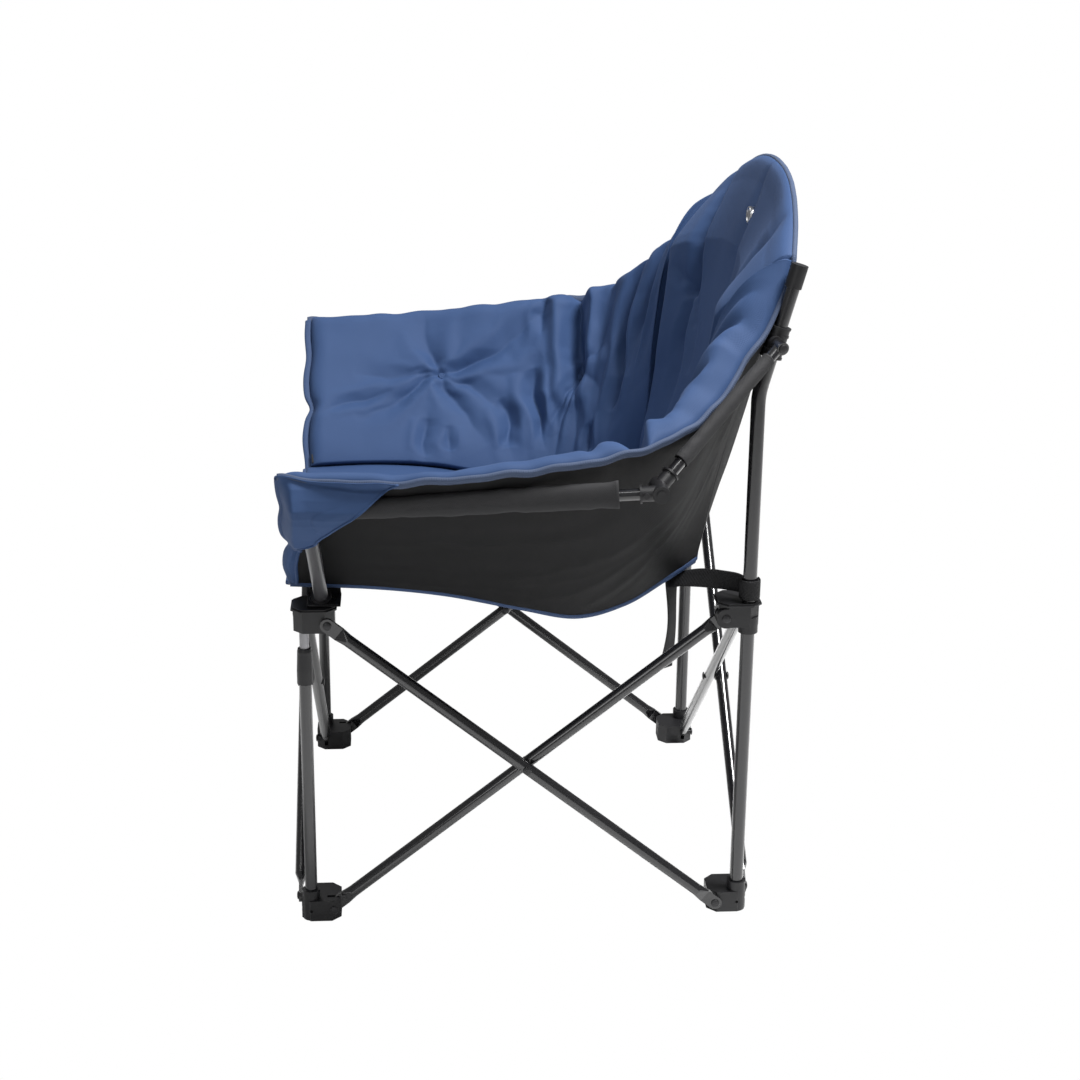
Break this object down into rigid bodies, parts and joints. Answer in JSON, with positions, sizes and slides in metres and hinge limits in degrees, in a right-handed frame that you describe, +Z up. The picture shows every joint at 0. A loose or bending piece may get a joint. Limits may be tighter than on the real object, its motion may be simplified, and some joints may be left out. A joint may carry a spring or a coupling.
{
  "type": "folding camping chair",
  "caption": "Folding camping chair with a padded bucket seat, arm rails and a high back on a square frame of crossed tubes that closes to a bundle.",
  "frame": {"origin": "on the floor, below the middle of the chair's bounding box, chair open", "axes": "+Z up, -Y towards the chair's front, +X towards the sitter's left"},
  "size_m": [0.9236, 0.6578, 0.9573],
  "materials": {
    "frame": "dark powder coat, satin",
    "plastic": "black moulded plastic",
    "steel": "plated steel",
    "shell": "black woven polyester",
    "pad": "padded blue polyester",
    "strap": "black webbing"
  },
  "bodies": {
    "left_rear_leg": {"left_rear_foot": "plastic", "left_rear_foot_rivets": "steel", "left_rear_pole": "frame", "left_pole_cap": "plastic", "left_rail_bracket": "plastic", "left_side_shell": "shell", "left_arm_pad": "pad", "back_shell": "shell", "back_pad": "pad", "seat_base": "shell", "seat_pad": "pad"},
    "left_outer_brace": {"left_outer_brace": "frame", "left_cross_rivet": "steel"},
    "left_inner_brace": {"left_inner_brace": "frame"},
    "left_front_leg": {"left_front_foot": "plastic", "left_front_foot_rivets": "steel", "left_front_leg": "frame", "left_leg_collar": "plastic"},
    "left_front_hub": {"left_front_hub": "plastic", "left_front_hub_rivets": "steel", "left_inner_rod": "steel", "left_arm_post": "frame"},
    "left_rear_hub": {"left_rear_hub": "plastic", "left_rear_hub_rivets": "steel", "left_rear_strap": "strap"},
    "rear_outer_brace": {"rear_outer_brace": "frame", "rear_cross_rivet": "steel"},
    "rear_inner_brace": {"rear_inner_brace": "frame"},
    "right_rear_leg": {"right_rear_foot": "plastic", "right_rear_foot_rivets": "steel", "right_rear_pole": "frame", "right_pole_cap": "plastic", "right_rail_bracket": "plastic", "right_side_shell": "shell", "right_arm_pad": "pad"},
    "right_rear_hub": {"right_rear_hub": "plastic", "right_rear_hub_rivets": "steel", "right_rear_strap": "strap"},
    "right_outer_brace": {"right_outer_brace": "frame", "right_cross_rivet": "steel"},
    "right_inner_brace": {"right_inner_brace": "frame"},
    "right_front_leg": {"right_front_foot": "plastic", "right_front_foot_rivets": "steel", "right_front_leg": "frame", "right_leg_collar": "plastic"},
    "right_front_hub": {"right_front_hub": "plastic", "right_front_hub_rivets": "steel", "right_inner_rod": "steel", "right_arm_post": "frame"},
    "front_outer_brace": {"front_outer_brace": "frame", "front_cross_rivet": "steel"},
    "front_inner_brace": {"front_inner_brace": "frame"},
    "left_front_rail": {"left_front_rail": "frame", "left_elbow_front": "plastic"},
    "left_rear_rail": {"left_rear_rail": "frame", "left_elbow_rear": "plastic"},
    "right_front_rail": {"right_front_rail": "frame", "right_elbow_front": "plastic"},
    "right_rear_rail": {"right_rear_rail": "frame", "right_elbow_rear": "plastic"}
  },
  "joints": [
    {"name": "left_rear_foot_pivot", "type": "hinge", "parent": "left_rear_leg", "child": "left_outer_brace", "pos_m": [0.2988, 0.23355, 0.016], "axis": [-1, 0, 0], "range_deg": [0, 41], "deforming": ["left_side_shell", "left_arm_pad", "back_shell", "back_pad", "seat_base", "seat_pad", "right_side_shell", "right_arm_pad"]},
    {"name": "left_crossing", "type": "hinge", "parent": "left_outer_brace", "child": "left_inner_brace", "pos_m": [0.2903, -0.01945, 0.218], "axis": [1, 0, 0], "range_deg": [0, 82]},
    {"name": "left_front_foot_pivot", "type": "hinge", "parent": "left_inner_brace", "child": "left_front_leg", "pos_m": [0.2818, -0.27245, 0.016], "axis": [-1, 0, 0], "range_deg": [0, 41]},
    {"name": "left_front_hub_pivot", "type": "hinge", "parent": "left_outer_brace", "child": "left_front_hub", "pos_m": [0.2988, -0.27245, 0.42], "axis": [1, 0, 0], "range_deg": [0, 41]},
    {"name": "left_rear_hub_pivot", "type": "hinge", "parent": "left_inner_brace", "child": "left_rear_hub", "pos_m": [0.2818, 0.23355, 0.42], "axis": [-1, 0, 0], "range_deg": [0, 41]},
    {"name": "rear_left_foot_pivot", "type": "hinge", "parent": "left_rear_leg", "child": "rear_outer_brace", "pos_m": [0.253, 0.27935, 0.016], "axis": [0, 1, 0], "range_deg": [0, 41]},
    {"name": "rear_crossing", "type": "hinge", "parent": "rear_outer_brace", "child": "rear_inner_brace", "pos_m": [0, 0.27085, 0.218], "axis": [0, -1, 0], "range_deg": [0, 82]},
    {"name": "rear_right_foot_pivot", "type": "hinge", "parent": "rear_inner_brace", "child": "right_rear_leg", "pos_m": [-0.253, 0.26235, 0.016], "axis": [0, 1, 0], "range_deg": [0, 41]},
    {"name": "rear_right_hub_pivot", "type": "hinge", "parent": "rear_outer_brace", "child": "right_rear_hub", "pos_m": [-0.253, 0.27935, 0.42], "axis": [0, -1, 0], "range_deg": [0, 41]},
    {"name": "right_rear_foot_pivot", "type": "hinge", "parent": "right_rear_leg", "child": "right_outer_brace", "pos_m": [-0.2988, 0.23355, 0.016], "axis": [-1, 0, 0], "range_deg": [0, 41]},
    {"name": "right_crossing", "type": "hinge", "parent": "right_outer_brace", "child": "right_inner_brace", "pos_m": [-0.2903, -0.01945, 0.218], "axis": [1, 0, 0], "range_deg": [0, 82]},
    {"name": "right_front_foot_pivot", "type": "hinge", "parent": "right_inner_brace", "child": "right_front_leg", "pos_m": [-0.2818, -0.27245, 0.016], "axis": [-1, 0, 0], "range_deg": [0, 41]},
    {"name": "right_front_hub_pivot", "type": "hinge", "parent": "right_outer_brace", "child": "right_front_hub", "pos_m": [-0.2988, -0.27245, 0.42], "axis": [1, 0, 0], "range_deg": [0, 41]},
    {"name": "front_left_foot_pivot", "type": "hinge", "parent": "left_front_leg", "child": "front_outer_brace", "pos_m": [0.253, -0.31825, 0.016], "axis": [0, 1, 0], "range_deg": [0, 41]},
    {"name": "front_crossing", "type": "hinge", "parent": "front_outer_brace", "child": "front_inner_brace", "pos_m": [0, -0.30975, 0.218], "axis": [0, -1, 0], "range_deg": [0, 82]},
    {"name": "left_front_rail_pivot", "type": "hinge", "parent": "left_front_hub", "child": "left_front_rail", "pos_m": [0.42, -0.26945, 0.61], "axis": [-0.9448, 0.2857, 0.1601], "range_deg": [0, 55.16]},
    {"name": "left_rear_rail_pivot", "type": "hinge", "parent": "left_rear_leg", "child": "left_rear_rail", "pos_m": [0.31, 0.28128, 0.778], "axis": [0.9394, 0.3221, -0.1175], "range_deg": [0, 75.34]},
    {"name": "right_front_rail_pivot", "type": "hinge", "parent": "right_front_hub", "child": "right_front_rail", "pos_m": [-0.42, -0.26945, 0.61], "axis": [-0.9448, -0.2857, -0.1601], "range_deg": [0, 55.16]},
    {"name": "right_rear_rail_pivot", "type": "hinge", "parent": "right_rear_leg", "child": "right_rear_rail", "pos_m": [-0.31, 0.28128, 0.778], "axis": [0.9394, -0.3221, 0.1175], "range_deg": [0, 75.34]}
  ],
  "couplings": [
    {"joint": "left_crossing", "follows": "left_rear_foot_pivot", "ratio": 2},
    {"joint": "left_front_foot_pivot", "follows": "left_rear_foot_pivot", "ratio": 1},
    {"joint": "left_front_hub_pivot", "follows": "left_rear_foot_pivot", "ratio": 1},
    {"joint": "left_rear_hub_pivot", "follows": "left_rear_foot_pivot", "ratio": 1},
    {"joint": "rear_left_foot_pivot", "follows": "left_rear_foot_pivot", "ratio": 1},
    {"joint": "rear_crossing", "follows": "left_rear_foot_pivot", "ratio": 2},
    {"joint": "rear_right_foot_pivot", "follows": "left_rear_foot_pivot", "ratio": 1},
    {"joint": "rear_right_hub_pivot", "follows": "left_rear_foot_pivot", "ratio": 1},
    {"joint": "right_rear_foot_pivot", "follows": "left_rear_foot_pivot", "ratio": 1},
    {"joint": "right_crossing", "follows": "left_rear_foot_pivot", "ratio": 2},
    {"joint": "right_front_foot_pivot", "follows": "left_rear_foot_pivot", "ratio": 1},
    {"joint": "right_front_hub_pivot", "follows": "left_rear_foot_pivot", "ratio": 1},
    {"joint": "front_left_foot_pivot", "follows": "left_rear_foot_pivot", "ratio": 1},
    {"joint": "front_crossing", "follows": "left_rear_foot_pivot", "ratio": 2},
    {"joint": "left_front_rail_pivot", "follows": "left_rear_foot_pivot", "ratio": 1.3452},
    {"joint": "left_rear_rail_pivot", "follows": "left_rear_foot_pivot", "ratio": 1.8376},
    {"joint": "right_front_rail_pivot", "follows": "left_rear_foot_pivot", "ratio": 1.3452},
    {"joint": "right_rear_rail_pivot", "follows": "left_rear_foot_pivot", "ratio": 1.8376}
  ]
}
